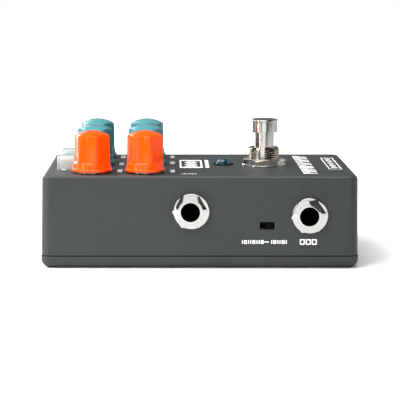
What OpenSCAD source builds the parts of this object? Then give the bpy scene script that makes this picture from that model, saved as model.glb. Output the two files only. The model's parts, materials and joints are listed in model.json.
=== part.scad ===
// Compact effects pedal: a die-cast box with six knobs, two buttons, a lamp, a footswitch and sockets.
// +X points to the footswitch end, +Y to the input side and +Z up. The origin is the centre of the
// footprint, on the surface that the pedal stands on. All lengths are in millimetres.

/* [Box] */
// Length of the box at its lower edge
box_l = 112; // [110:0.5:122]
// Width of the box at its lower edge
box_w = 60.5; // [60:0.5:66]
// Height of the top plate
box_h = 33; // [32.5:0.5:36]
// Wall thickness of the casting
wall = 2.2; // [1.8:0.1:2.3]
// Inward slope of the side walls, per millimetre of height
draft = 0.018; // [0:0.002:0.02]
// Radius of the upright corners
corner_r = 3.2; // [2.6:0.1:4]
// Radius of the edge around the top plate
top_edge_r = 1.5; // [0.6:0.1:2]

/* [Base plate] */
// Height of the rim of the base plate
base_h = 4.45; // [4:0.05:4.8]
// Overhang of the base plate beyond the box
base_lap = 0.2; // [0:0.05:0.5]
// Radius of the lower edge of the base plate
base_edge_r = 3.2; // [1:0.1:3.4]

/* [Knobs] */
// Distance from the middle of the box to the outer column of knobs
outer_column = 38.25; // [37.5:0.25:39]
// Distance from the middle of the box to the inner column of knobs
inner_column = 19.4; // [19:0.2:20]
// Distance between the rows of knobs
row_pitch = 20; // [19:0.5:20]
// Height of the top of a knob above the top plate
knob_top = 15; // [13:0.5:18]
// Largest radius of the knob's skirt
skirt_r = 7.2; // [6.9:0.1:7.6]
// Radius of the knob's grip just above the skirt
grip_r = 6.6; // [6.3:0.1:6.8]

/* [Buttons] */
// Width of a square button cap
button_w = 7; // [6:0.25:7.5]
// Height of a button cap above the top plate
button_h = 4.6; // [3:0.2:6]
// Travel of a button
button_travel = 0.5; // [0.2:0.1:0.6]

/* [Lamp] */
// Distance from the middle of the box to the lamp
lamp_x = 9.2; // [8:0.2:9.4]
// Height of the lamp's dome above the top plate
lamp_h = 2.3; // [2:0.1:3.2]
// Radius of the lamp's bezel
bezel_r = 3.95; // [3.6:0.05:4.5]

/* [Footswitch] */
// Distance from the middle of the box to the footswitch
switch_x = 24.3; // [23.5:0.1:24.4]
// Radius of the threaded bushing
switch_thread_r = 5.7; // [5.5:0.1:5.8]
// Height of the bushing above the top plate
switch_bushing_h = 6.6; // [5:0.2:8]
// Width across the flats of the footswitch nut
switch_nut_af = 14; // [13:0.5:16]
// Radius of the cap
cap_r = 4.95; // [4.4:0.05:6]
// Height of the cap
cap_h = 4.7; // [3.5:0.1:6]
// Height of the top of the cap above the top plate
cap_top = 16.9; // [15:0.1:20]
// Travel of the footswitch
switch_travel = 2.5; // [1.5:0.1:3]

/* [Sockets] */
// Radius of the hole for a 6.35 mm plug
plug_hole_r = 3.25; // [3.225:0.025:3.3]
// Distance from the middle of the box to the output socket
output_x = -3.4; // [-3.6:0.1:-3]
// Distance from the middle of the box to the input socket
input_x = -1.4; // [-2:0.1:-1]
// Height of the output and input sockets
output_z = 20.6; // [20:0.1:21]
// Distance from the middle of the box to the control socket
control_x = 38.2; // [38:0.1:39]
// Height of the control socket
control_z = 19.1; // [18.5:0.1:20]
// Width across the flats of a socket nut
socket_nut_af = 11; // [11:0.1:12]

/* [Slide switch] */
// Distance from the middle of the box to the window of the slide switch
slide_x = 23.6; // [22:0.1:23.8]
// Height of the window's middle
slide_z = 15.4; // [15:0.1:16]
// Width of the window
slide_window_w = 5.2; // [5.2:0.1:6]
// Height of the window
slide_window_h = 2.7; // [2.7:0.1:3.2]
// Travel of the slide switch
slide_travel = 1.7; // [1.2:0.1:1.7]

/* [Hidden] */

$fn = 48;

// Fits
loose = 0.3;      // gap between pieces that move past each other
run = 0.05;       // radial clearance of a shaft that turns or slides in its bore
slip = 0.02;      // radial clearance of pieces that are fixed together
cut = 1;          // extra length of a cutting tool beyond the face that it opens
thin = 0.01;      // thickness of the discs that hulls stretch between
hull_fn = 32;     // sides of the round parts of a hull
sqrt3 = sqrt(3);

// Casting
seam_gap = 0.3;
shell_z = base_h + seam_gap;
ceiling = box_h - wall;
inner_corner_r = 1.5;
post_r = 3.9;
post_inset = 3.4;
post_x = box_l / 2 - wall - post_inset;
post_y = box_w / 2 - wall - post_inset;
post_fill = 12;
base_screw_r = 1.75;
base_screw_l = 13;
base_hole_depth = 11;
base_head_r = 3.3;
base_head_h = 1.6;
base_floor = 2.2;
base_corner_r = corner_r + base_lap;
lip_h = 1.4;
lip_t = 1.2;
lip_gap = 0.25;
lip_short = 18;

// Potentiometers
columns = [-outer_column, -inner_column];
rows = [-row_pitch, 0, row_pitch];
pot_places = [for (y = rows, x = columns) [x, y]];
// How far each knob is turned from the position in which its shaft's flat faces +X
turns = [18, 20, 28, 26, 20, 44];
pot_size = [9.8, 10.6];
pot_top = ceiling - 0.1;
pot_housing_h = 6.2;
pot_floor = pot_top - pot_housing_h;
pot_lid = 1;
pot_cavity_r = 4.3;
pot_flange_h = 0.8;
pot_thread_r = 3.5;
pot_bushing_h = 2.3;
pot_wafer_t = 0.9;
pot_washer_t = 0.4;
pot_nut_t = 1.8;
pot_nut_af = 10;
pot_pin_pitch = 2.5;
pot_pin_y = 5.55;
shaft_r = 3;
shaft_flat = 2;
shaft_h = 11.8;
rotor_r = 4.05;
rotor_t = 2;
pin_w = 0.5;
pin_hole_r = 0.45;

// Knobs
knob_gap = 0.67;
knob_dome_r = 12;
knob_tip_r = 6.3;
skirt_rim = 0.8;
flare_h = 2.8;
knob_recess_r = 5.95;
knob_recess_top = 2.65;
knob_bore_top = 12;
scallop_r = 15.2;
scallop_depth_r = 5.6;
scallop_count = 6;
scallop_base = 3.4;

// Boards
board_t = 1.6;
control_z0 = pot_floor - pot_wafer_t - 0.2 - board_t;
control_top = control_z0 + board_t;
main_z0 = base_h + 4.95;
main_top = main_z0 + board_t;
board_gap = 1;
notch_x = 7;
notch_y = 7.2;
control_edge = -13.2;
header_x = -(outer_column + inner_column) / 2;
header_rows = 8;
header_pitch = 2.54;
header_w = 5;
header_pin = 0.64;
header_hole = 0.9;
header_pin_hole_r = 0.55;
header_strip_h = 2;
standoff_places = [[header_x, -17], [header_x, 17], [-48.5, 0]];
standoff_af = 5;
standoff_hole_r = 1.5;
board_screw_r = 1.45;
board_screw_l = 5;
board_head_r = 2.75;
board_head_h = 1.8;
board_hole_r = 1.6;

// Lamp
lamp_r = 2.5;
lamp_flange_r = 2.9;
lamp_flange_z = ceiling - 2.2;
lamp_flange_h = 1;
bezel_barrel_r = 3.2;
bezel_barrel_l = 3.2;
bezel_rim_h = 0.3;
lead_pitch = 2.54;

// Footswitch
switch_body_w = 17;
switch_body_top = ceiling - 0.1;
switch_body_z = main_top + 2.5;
switch_floor = 2;
switch_lid = 1.5;
switch_cavity_r = 6;
switch_flange_h = 0.95;
stem_r = 3.6;
keyway_w = 1.9;
keyway_depth = 0.9;
keyway_turn = -10;
switch_washer_t = 0.5;
switch_washer_r = 8.3;
switch_nut_t = 2.1;
collar_r = 5.3;
collar_t = 1.3;
tip_r = 2.6;
tip_l = 4.6;
cap_edge_r = 0.8;
spring_wire_r = 0.4;
spring_r = 4.7;
spring_turns = 6;
spring_sides = 6;
spring_steps = 16 * spring_turns;
switch_contact_r = 2.9;
switch_pin_w = 0.8;
switch_pin_place = 5;
switch_pin_hole_r = 0.65;
switch_flange_z = switch_body_top - switch_lid - switch_flange_h;
collar_top = switch_flange_z - loose;
tip_z = collar_top - collar_t - tip_l;
spring_z = switch_body_z + switch_floor;
spring_top = collar_top - collar_t - 0.1;

// Buttons
button_x = -47.8;
button_y = 9.5;
button_window = button_w + 2 * loose;
button_flange_w = button_w + 1.6;
button_flange_t = 1.4;
button_edge_r = 0.5;
button_stem_r = 2.6;
tact_w = 6;
tact_h = 3.5;
tact_floor = 0.7;
tact_plunger_r = 1.75;
tact_plunger_h = 1.3;
tact_leg = [1.2, 0.7, 0.4];
tact_leg_y = 2.2;

// Sockets
jack_thread_r = 4.4;
jack_hole_r = 4.5;
jack_face = box_w / 2 + 2.6;
jack_thread_edge = 0.45;
jack_washer_y = box_w / 2 - 0.13;
jack_washer_t = 0.6;
jack_washer_r = 6.3;
jack_washer_hole_r = 4.9;
// Each washer hangs off centre on its thread
jack_washer_shift = 0.4;
jack_nut_t = 2;
jack_nut_dome_r = 20;
jack_nut_dome_fn = 120;
jack_nut_turns = [0, 5, 12];
jack_front = box_w / 2 - wall - 0.55;
jack_bushing_end = jack_front - 3;
jack_size = [15, 18.5, 13.6];
jack_rear_r = 3.6;
jack_tunnel_w = 9.4;
jack_tunnel_end = 0.3;
jack_tunnel_wall = 0.75;
jack_foot = 1.5;
blade_t = 0.4;
blade_x = 3.45;
blade_l = 12;
blade_h = 3;
blade_leg = 2.5;
blade_start = jack_bushing_end - 1.5;
blade_gap = 0.15;
pin_out = 0.8;

// Power socket
power_x = 22;
power_size = [9.8, 14, 11.4];
power_z = main_top + 0.2 + power_size[2] / 2;
power_collar_r = 4.6;
power_collar_l = 2.4;
power_hole_r = 2.8;
power_hole_l = 10;
power_pin_r = 1.05;
power_pin_back = 1;
power_legs = [[0, 3], [0, 9], [3.6, 6]];
power_leg_w = 0.9;

// Slide switch
slide_body = [12, 5, 8.6];
slide_body_z = main_top + 0.1;
slide_cavity = [10, 3.2, 5.6];
slide_skin = 1;
slide_tab = [2.9, 2.1];
slide_recess = 0.6;
slide_carrier = [7, 1.8, 4.4];
slide_pins = [-3, 0, 3];

// Parts on the main board: x, y, length, width, height
chip_places = [[-20, -14, 12, 12, 1.4], [-20, 6, 8, 5, 1.5], [-38, 12, 8, 5, 1.5], [-40, -14, 7, 7, 1.2]];
can_places = [[44, 3.5], [44, 10.5], [36, 18], [44, 18]];
can_r = 3.15;
can_h = 7.5;
can_base = 1;

function half_l(z) = box_l / 2 - draft * (z - shell_z);
function half_w(z) = box_w / 2 - draft * (z - shell_z);
function hex_r(flats) = flats / sqrt3;
function arc(cx, cy, r, from, to, steps = 6) =
    [for (i = [0 : steps]) let (a = from + (to - from) * i / steps) [cx + r * cos(a), cy + r * sin(a)]];

// ---- Shared shapes

module at_corners(x, y) {
    for (mx = [0, 1], my = [0, 1])
        mirror([mx, 0, 0])
            mirror([0, my, 0])
                translate([x, y, 0])
                    children();
}

module at_pots() {
    for (place = pot_places)
        translate(place)
            children();
}

module at_switch() {
    translate([switch_x, 0, 0])
        children();
}

// The child points along -Y from the middle of the box, at a socket on the near side
module at_socket(x, z) {
    translate([x, 0, z])
        rotate([90, 0, 0])
            children();
}

module at_input() {
    translate([input_x, 0, output_z])
        rotate([-90, 0, 0])
            children();
}

module tube(outer_r, inner_r, h) {
    difference() {
        cylinder(r = outer_r, h = h);
        translate([0, 0, -cut])
            cylinder(r = inner_r, h = h + 2 * cut);
    }
}

module hex_nut(flats, bore_r, h) {
    difference() {
        cylinder(r = hex_r(flats), h = h, $fn = 6);
        translate([0, 0, -cut])
            cylinder(r = bore_r, h = h + 2 * cut);
    }
}

module post(w, z0, z1) {
    translate([-w / 2, -w / 2, z0])
        cube([w, w, z1 - z0]);
}

module box_on(size, z0) {
    translate([-size[0] / 2, -size[1] / 2, z0])
        cube(size);
}

// ---- Casting

module corner_disc() {
    cylinder(r = corner_r, h = thin, $fn = hull_fn);
}

module top_disc() {
    rotate_extrude($fn = hull_fn)
        polygon(concat(
            [[0, 0], [corner_r, 0]],
            arc(corner_r - top_edge_r, 0, top_edge_r, 0, 90),
            [[0, top_edge_r]]
        ));
}

module shell_outside() {
    edge_z = box_h - top_edge_r;
    hull() {
        translate([0, 0, shell_z])
            at_corners(box_l / 2 - corner_r, box_w / 2 - corner_r)
                corner_disc();
        translate([0, 0, edge_z])
            at_corners(half_l(edge_z) - corner_r, half_w(edge_z) - corner_r)
                top_disc();
    }
}

module shell_inside() {
    low = shell_z - cut;
    inset = wall + inner_corner_r;
    hull() {
        translate([0, 0, low])
            at_corners(half_l(low) - inset, half_w(low) - inset)
                cylinder(r = inner_corner_r, h = thin, $fn = hull_fn);
        translate([0, 0, ceiling - thin])
            at_corners(half_l(ceiling) - inset, half_w(ceiling) - inset)
                cylinder(r = inner_corner_r, h = thin, $fn = hull_fn);
    }
}

module corner_posts() {
    at_corners(post_x, post_y) {
        translate([0, 0, shell_z])
            cylinder(r = post_r, h = ceiling - shell_z + cut);
        translate([0, 0, shell_z])
            cube([post_fill, post_fill, ceiling - shell_z + cut]);
    }
}

module top_openings() {
    at_pots()
        translate([0, 0, ceiling - cut])
            cylinder(r = pot_thread_r + 0.1, h = wall + 2 * cut);
    translate([lamp_x, 0, ceiling - cut])
        cylinder(r = bezel_barrel_r + run, h = wall + 2 * cut);
    at_switch()
        translate([0, 0, ceiling - cut])
            cylinder(r = switch_thread_r + 0.15, h = wall + 2 * cut);
    for (y = [-button_y, button_y])
        translate([button_x, y, 0])
            box_on([button_window, button_window, wall + 2 * cut], ceiling - cut);
}

module side_openings() {
    hole_start = half_w(0) - wall - 2 * cut;
    hole_l = wall + 4 * cut;
    at_socket(output_x, output_z)
        translate([0, 0, hole_start])
            cylinder(r = jack_hole_r, h = hole_l);
    at_socket(control_x, control_z)
        translate([0, 0, hole_start])
            cylinder(r = jack_hole_r, h = hole_l);
    at_input()
        translate([0, 0, hole_start])
            cylinder(r = jack_hole_r, h = hole_l);
    translate([power_x, 0, power_z])
        rotate([-90, 0, 0])
            translate([0, 0, hole_start])
                cylinder(r = power_collar_r + loose, h = hole_l);
    at_socket(slide_x, slide_z)
        box_on([slide_window_w, slide_window_h, hole_l], hole_start);
}

module enclosure() {
    color("#565b5a")
        difference() {
            shell_outside();
            difference() {
                shell_inside();
                corner_posts();
            }
            at_corners(post_x, post_y)
                translate([0, 0, shell_z - cut])
                    cylinder(r = base_screw_r + slip, h = base_hole_depth + cut);
            top_openings();
            side_openings();
        }
}

module base_disc() {
    rotate_extrude($fn = hull_fn)
        polygon(concat(
            [[0, 0]],
            arc(base_corner_r - base_edge_r, base_edge_r, base_edge_r, -90, 0, 8),
            [[base_corner_r, base_h], [0, base_h]]
        ));
}

module base_pads() {
    at_corners(post_x, post_y) {
        cylinder(r = post_r, h = base_h);
        cube([post_fill, post_fill, base_h]);
    }
}

module base_lip() {
    side_y = half_w(base_h + lip_h) - wall - lip_gap - lip_t;
    end_x = half_l(base_h + lip_h) - wall - lip_gap - lip_t;
    side_l = post_x - post_r - cut;
    for (m = [0, 1]) {
        mirror([0, m, 0])
            translate([-side_l, side_y, base_floor])
                cube([2 * side_l, lip_t, base_h + lip_h - base_floor]);
        mirror([m, 0, 0])
            translate([end_x, -lip_short, base_floor])
                cube([lip_t, 2 * lip_short, base_h + lip_h - base_floor]);
    }
}

module base_plate() {
    inner = [box_l - 2 * wall, box_w - 2 * wall, base_h];
    color("#53585a")
        difference() {
            union() {
                difference() {
                    hull()
                        at_corners(
                            box_l / 2 + base_lap - base_corner_r,
                            box_w / 2 + base_lap - base_corner_r
                        )
                            base_disc();
                    difference() {
                        box_on(inner, base_floor);
                        base_pads();
                    }
                }
                base_lip();
            }
            at_corners(post_x, post_y) {
                translate([0, 0, -cut])
                    cylinder(r = base_screw_r + 0.2, h = base_h + 2 * cut);
                translate([0, 0, -thin])
                    cylinder(r1 = base_head_r + 0.2, r2 = base_screw_r + 0.2, h = base_head_h);
            }
        }
}

module base_screws() {
    slot_w = 1;
    slot_l = 3.6;
    slot_depth = 0.9;
    color("#3a3c3d")
        at_corners(post_x, post_y)
            difference() {
                translate([0, 0, 0.1]) {
                    cylinder(r1 = base_head_r, r2 = base_screw_r, h = base_head_h);
                    cylinder(r = base_screw_r, h = base_screw_l);
                }
                translate([-slot_l / 2, -slot_w / 2, 0])
                    cube([slot_l, slot_w, slot_depth]);
                translate([-slot_w / 2, -slot_l / 2, 0])
                    cube([slot_w, slot_l, slot_depth]);
            }
}

// ---- Knobs and potentiometers

module d_profile(r, flat) {
    difference() {
        circle(r);
        translate([flat, -r])
            square([r, 2 * r]);
    }
}

module knob_solid() {
    low = box_h + knob_gap;
    high = box_h + knob_top;
    flare_r = skirt_r - grip_r;
    intersection() {
        union() {
            translate([0, 0, low])
                cylinder(r1 = grip_r, r2 = knob_tip_r, h = high - low);
            translate([0, 0, low])
                rotate_extrude()
                    polygon(concat(
                        [[0, 0], [skirt_r - 0.2, 0], [skirt_r, 0.2], [skirt_r, skirt_rim]],
                        [for (p = arc(0, 0, 1, 75, 15, 4))
                            [skirt_r - flare_r * p[0], skirt_rim + (flare_h - skirt_rim) * (1 - p[1])]],
                        [[grip_r - 0.1, flare_h + 0.2], [0, flare_h + 0.2]]
                    ));
        }
        translate([0, 0, high - knob_dome_r])
            sphere(r = knob_dome_r + thin);
    }
}

module knob(i) {
    translate(pot_places[i])
        rotate([0, 0, turns[i]])
            difference() {
                knob_solid();
                for (k = [0 : scallop_count - 1])
                    rotate([0, 0, 360 * k / scallop_count])
                        translate([scallop_depth_r + scallop_r, 0, box_h + scallop_base])
                            cylinder(r = scallop_r, h = knob_top);
                translate([0, 0, box_h])
                    cylinder(r = knob_recess_r, h = knob_recess_top);
                translate([0, 0, box_h])
                    linear_extrude(knob_bore_top)
                        d_profile(shaft_r + run, shaft_flat + run);
            }
}

module orange_knob(i) {
    color("#ff6a00")
        knob(i);
}

module teal_knob(i) {
    color("#5f9fae")
        knob(i);
}

module pot_shaft(i) {
    flat_z = box_h + knob_recess_top;
    rotor_z = pot_floor + 1.2;
    color("#c9cbcc")
        translate(pot_places[i])
            rotate([0, 0, turns[i]]) {
                translate([0, 0, rotor_z])
                    cylinder(r = rotor_r, h = rotor_t);
                translate([0, 0, rotor_z])
                    cylinder(r = shaft_r, h = flat_z - rotor_z);
                translate([0, 0, flat_z])
                    linear_extrude(box_h + shaft_h - flat_z)
                        d_profile(shaft_r, shaft_flat);
            }
}

module pot_housings() {
    color("#4a6b4f")
        at_pots()
            difference() {
                box_on([pot_size[0], pot_size[1], pot_housing_h], pot_floor);
                translate([0, 0, pot_floor - cut])
                    cylinder(r = pot_cavity_r, h = pot_housing_h - pot_lid + cut);
                translate([0, 0, pot_floor])
                    cylinder(r = pot_thread_r + slip, h = pot_housing_h + cut);
            }
}

module pot_bushings() {
    flange_z = pot_top - pot_lid - pot_flange_h;
    color("#c9cbcc")
        at_pots()
            difference() {
                union() {
                    translate([0, 0, flange_z])
                        cylinder(r = pot_cavity_r - 0.1, h = pot_flange_h - slip);
                    translate([0, 0, flange_z])
                        cylinder(r = pot_thread_r, h = box_h + pot_bushing_h - flange_z);
                }
                translate([0, 0, flange_z - cut])
                    cylinder(r = shaft_r + run, h = box_h + pot_bushing_h - flange_z + 2 * cut);
            }
}

module pot_wafers() {
    color("#7a4a2a")
        at_pots()
            box_on([pot_size[0], pot_size[1], pot_wafer_t], pot_floor - pot_wafer_t - slip);
}

module at_pot_pins() {
    at_pots()
        for (i = [-1 : 1])
            translate([i * pot_pin_pitch, pot_pin_y, 0])
                children();
}

module pot_terminals() {
    color("#d9d9d6")
        at_pot_pins()
            post(pin_w, control_z0 - pin_out, pot_floor - slip);
}

module pot_washers() {
    color("#c9cbcc")
        at_pots()
            translate([0, 0, box_h])
                tube(hex_r(pot_nut_af) - 0.1, pot_thread_r + slip, pot_washer_t);
}

module pot_nuts() {
    color("#c9cbcc")
        at_pots()
            translate([0, 0, box_h + pot_washer_t])
                hex_nut(pot_nut_af, pot_thread_r + slip, pot_nut_t);
}

// ---- Boards

module notched(x0, x1, y) {
    polygon([
        [x0, -y + notch_y], [x0 + notch_x, -y + notch_y], [x0 + notch_x, -y],
        [x1, -y], [x1, y],
        [x0 + notch_x, y], [x0 + notch_x, y - notch_y], [x0, y - notch_y]
    ]);
}

module pierce(place, r, z) {
    translate([place[0], place[1], z - cut])
        cylinder(r = r, h = board_t + 2 * cut);
}

module control_board() {
    edge_x = -(half_l(control_top) - wall - board_gap);
    edge_y = half_w(control_top) - wall - board_gap;
    color("#20382a")
        difference() {
            translate([0, 0, control_z0])
                linear_extrude(board_t)
                    notched(edge_x, control_edge, edge_y);
            at_pot_pins()
                pierce([0, 0], pin_hole_r, control_z0);
            for (place = standoff_places)
                pierce(place, board_hole_r, control_z0);
            at_header()
                pierce([0, 0], header_pin_hole_r, control_z0);
        }
}

module main_board() {
    edge_x = half_l(main_top) - wall - board_gap;
    edge_y = half_w(main_top) - wall - board_gap;
    color("#20382a")
        difference() {
            translate([0, 0, main_z0])
                linear_extrude(board_t)
                    intersection() {
                        notched(-edge_x, edge_x, edge_y);
                        mirror([1, 0])
                            notched(-edge_x, edge_x, edge_y);
                    }
            for (place = standoff_places)
                pierce(place, board_hole_r, main_z0);
            at_lamp_leads()
                pierce([0, 0], pin_hole_r, main_z0);
            at_switch_pins()
                pierce([0, 0], switch_pin_hole_r, main_z0);
            for (dx = slide_pins)
                pierce([slide_x + dx, slide_pin_y()], pin_hole_r, main_z0);
            for (leg = power_legs)
                pierce([power_x + leg[0], power_leg_y(leg)], switch_pin_hole_r, main_z0);
            blade_openings(output_x, -1);
            blade_openings(control_x, -1);
            blade_openings(input_x, 1);
        }
}

module blade_openings(x, side) {
    gap = 0.1;
    y = side * (blade_start - blade_leg / 2);
    for (dx = [-1, 1])
        translate([x + dx * (blade_x + blade_t / 2), y, 0])
            box_on([blade_t + 2 * gap, blade_leg + 2 * gap, board_t + 2 * cut], main_z0 - cut);
}

module board_standoffs() {
    color("#b9a15a")
        for (place = standoff_places)
            translate([place[0], place[1], main_top])
                hex_nut(standoff_af, standoff_hole_r, control_z0 - main_top);
}

module board_screw() {
    slot_w = 0.8;
    difference() {
        union() {
            cylinder(r = board_head_r, h = board_head_h);
            translate([0, 0, -board_screw_l])
                cylinder(r = board_screw_r, h = board_screw_l + thin);
        }
        translate([-board_head_r, -slot_w / 2, board_head_h - slot_w])
            cube([2 * board_head_r, slot_w, 2 * slot_w]);
    }
}

module board_screws() {
    color("#b8babb")
        for (place = standoff_places) {
            translate([place[0], place[1], control_top])
                board_screw();
            translate([place[0], place[1], main_z0])
                mirror([0, 0, 1])
                    board_screw();
        }
}

module at_header() {
    for (dx = [-0.5, 0.5], i = [0 : header_rows - 1])
        translate([header_x + dx * header_pitch, (i - (header_rows - 1) / 2) * header_pitch, 0])
            children();
}

module header_socket() {
    socket_h = control_z0 - header_strip_h - 0.05 - main_top;
    color("#1c1c1e")
        difference() {
            translate([header_x, 0, 0])
                box_on([header_w, header_rows * header_pitch, socket_h], main_top);
            at_header()
                post(header_hole, main_top + 1.5, main_top + socket_h + cut);
        }
}

module pin_header() {
    color("#caa84a") {
        translate([header_x, 0, 0])
            box_on([header_w, header_rows * header_pitch, header_strip_h], control_z0 - header_strip_h);
        at_header()
            post(header_pin, main_top + 2, control_top + pin_out);
    }
}

// ---- Lamp

module lamp() {
    color("#1f8f95")
        translate([lamp_x, 0, 0]) {
            translate([0, 0, lamp_flange_z])
                cylinder(r = lamp_flange_r, h = lamp_flange_h);
            translate([0, 0, lamp_flange_z])
                cylinder(r = lamp_r, h = box_h + lamp_h - lamp_r - lamp_flange_z);
            translate([0, 0, box_h + lamp_h - lamp_r])
                sphere(r = lamp_r);
        }
}

module lamp_bezel() {
    step_z = lamp_flange_z + lamp_flange_h;
    low = box_h - bezel_barrel_l - wall;
    color("#141517")
        translate([lamp_x, 0, 0])
            difference() {
                union() {
                    translate([0, 0, low])
                        cylinder(r = bezel_barrel_r, h = box_h - low);
                    translate([0, 0, box_h])
                        cylinder(r1 = bezel_r, r2 = bezel_r - bezel_rim_h / 2, h = bezel_rim_h);
                }
                translate([0, 0, low - cut])
                    cylinder(r = lamp_r + slip, h = box_h + cut);
                translate([0, 0, low - cut])
                    cylinder(r = lamp_flange_r + slip, h = step_z - low + cut);
            }
}

module at_lamp_leads() {
    for (side = [-1, 1])
        translate([lamp_x + side * lead_pitch / 2, 0, 0])
            children();
}

module lamp_leads() {
    color("#d9d9d6")
        at_lamp_leads()
            post(pin_w, main_z0 - pin_out, lamp_flange_z);
}

// ---- Footswitch

module footswitch_housing() {
    color("#1d3f7a")
        at_switch()
            difference() {
                box_on([switch_body_w, switch_body_w, switch_body_top - switch_body_z], switch_body_z);
                translate([0, 0, spring_z])
                    cylinder(r = switch_cavity_r, h = switch_body_top - switch_lid - spring_z);
                translate([0, 0, spring_z])
                    cylinder(r = switch_thread_r + slip, h = box_h);
            }
}

module footswitch_bushing() {
    top = box_h + switch_bushing_h;
    color("#c4c6c8")
        at_switch()
            difference() {
                union() {
                    translate([0, 0, switch_flange_z])
                        cylinder(r = switch_cavity_r - 0.1, h = switch_flange_h - slip);
                    translate([0, 0, switch_flange_z])
                        cylinder(r = switch_thread_r, h = top - switch_flange_z);
                }
                translate([0, 0, switch_flange_z - cut])
                    cylinder(r = stem_r + run, h = top - switch_flange_z + 2 * cut);
                rotate([0, 0, keyway_turn])
                    translate([-keyway_w / 2, -switch_thread_r - cut, ceiling])
                        cube([keyway_w, keyway_depth + cut, box_h]);
            }
}

module footswitch_washer() {
    color("#c4c6c8")
        at_switch()
            translate([0, 0, box_h])
                tube(switch_washer_r, switch_thread_r + slip, switch_washer_t);
}

module footswitch_nut() {
    corner_turn = 7;
    color("#c4c6c8")
        at_switch()
            translate([0, 0, box_h + switch_washer_t])
                rotate([0, 0, corner_turn])
                    hex_nut(switch_nut_af, switch_thread_r + slip, switch_nut_t);
}

module footswitch_plunger() {
    cap_z = box_h + cap_top - cap_h;
    color("#c4c6c8")
        at_switch() {
            translate([0, 0, tip_z])
                cylinder(r = tip_r, h = tip_l + collar_t);
            translate([0, 0, collar_top - collar_t])
                cylinder(r = collar_r, h = collar_t);
            translate([0, 0, collar_top - collar_t])
                cylinder(r = stem_r, h = cap_z + cap_edge_r - collar_top + collar_t);
            translate([0, 0, cap_z])
                rotate_extrude()
                    polygon(concat(
                        [[0, 0], [cap_r - cap_edge_r / 2, 0]],
                        arc(cap_r - cap_edge_r / 2, cap_edge_r / 2, cap_edge_r / 2, -60, 0, 2),
                        arc(cap_r - cap_edge_r, cap_h - cap_edge_r, cap_edge_r, 0, 90),
                        [[0, cap_h]]
                    ));
        }
}

function spring_ring(i) =
    let (
        turn = 360 * spring_turns * i / spring_steps,
        rise = (spring_top - spring_z - 2 * spring_wire_r) * i / spring_steps
    )
    [for (j = [0 : spring_sides - 1])
        let (
            side = 360 * (j + 0.5) / spring_sides,
            r = spring_r + spring_wire_r * cos(side)
        )
        [r * cos(turn), r * sin(turn), rise + spring_wire_r * (1 + sin(side))]];

module footswitch_spring() {
    rings = [for (i = [0 : spring_steps]) each spring_ring(i)];
    last = spring_steps * spring_sides;
    sides = [for (i = [0 : spring_steps - 1], j = [0 : spring_sides - 1])
        let (a = i * spring_sides, k = (j + 1) % spring_sides)
        [a + j, a + spring_sides + j, a + spring_sides + k, a + k]];
    start = [[for (j = [0 : spring_sides - 1]) j]];
    finish = [[for (j = [spring_sides - 1 : -1 : 0]) last + j]];
    color("#9a9c9e")
        translate([switch_x, 0, spring_z])
            polyhedron(points = rings, faces = concat(start, sides, finish), convexity = 8);
}

module footswitch_contact() {
    color("#26282a")
        at_switch()
            translate([0, 0, spring_z])
                cylinder(r = switch_contact_r, h = tip_z - switch_travel - loose - spring_z);
}

module at_switch_pins() {
    at_switch()
        for (x = [-1, 1], y = [-1, 1])
            translate([x * switch_pin_place, y * switch_pin_place, 0])
                children();
}

module footswitch_terminals() {
    color("#d9d9d6")
        at_switch_pins()
            post(switch_pin_w, main_z0 - pin_out, switch_body_z);
}

// ---- Buttons

module cap_disc() {
    cylinder(r = button_edge_r, h = thin, $fn = hull_fn);
}

module button_cap(y) {
    flange_top = ceiling - loose;
    stem_z = control_top + tact_h + button_travel + 0.2;
    half = button_w / 2 - button_edge_r;
    color("#dfe9ee")
        translate([button_x, y, 0])
            difference() {
                union() {
                    hull() {
                        translate([0, 0, flange_top - thin])
                            at_corners(half, half)
                                cap_disc();
                        translate([0, 0, box_h + button_h - button_edge_r])
                            at_corners(half, half)
                                cap_disc();
                        translate([0, 0, box_h + button_h - thin])
                            at_corners(half - button_edge_r / 2, half - button_edge_r / 2)
                                cap_disc();
                    }
                    box_on(
                        [button_flange_w, button_flange_w, button_flange_t],
                        flange_top - button_flange_t
                    );
                    translate([0, 0, stem_z])
                        cylinder(r = button_stem_r, h = flange_top - stem_z);
                }
                translate([0, 0, stem_z - cut])
                    cylinder(r = tact_plunger_r + slip, h = cut + tact_plunger_h - 0.65);
            }
}

module tact_plunger(y) {
    low = control_top + tact_floor + button_travel + loose;
    color("#202224")
        translate([button_x, y, low])
            cylinder(r = tact_plunger_r, h = control_top + tact_h + tact_plunger_h - low);
}

module tact_switches() {
    color("#9aa0a3")
        for (y = [-button_y, button_y])
            translate([button_x, y, control_top]) {
                difference() {
                    box_on([tact_w, tact_w, tact_h], 0);
                    translate([0, 0, tact_floor])
                        cylinder(r = tact_plunger_r + run, h = tact_h);
                }
                for (mx = [0, 1], dy = [-tact_leg_y, tact_leg_y])
                    mirror([mx, 0, 0])
                        translate([tact_w / 2, dy - tact_leg[1] / 2, 0])
                            cube(tact_leg);
            }
}

// ---- Slide switch

function slide_front() = -(half_w(slide_body_z + slide_body[2]) - wall - 0.1);
function slide_pin_y() = slide_front() + slide_body[1] / 2;

module slide_switch_housing() {
    front = slide_front();
    window = [slide_window_w, slide_skin + 2 * cut, slide_window_h];
    color("#b9bcbe")
        difference() {
            translate([slide_x - slide_body[0] / 2, front, slide_body_z])
                cube(slide_body);
            translate([slide_x - slide_cavity[0] / 2, front + slide_skin, slide_z - slide_cavity[2] / 2])
                cube(slide_cavity);
            translate([slide_x - window[0] / 2, front - cut, slide_z - window[2] / 2])
                cube(window);
        }
}

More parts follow.
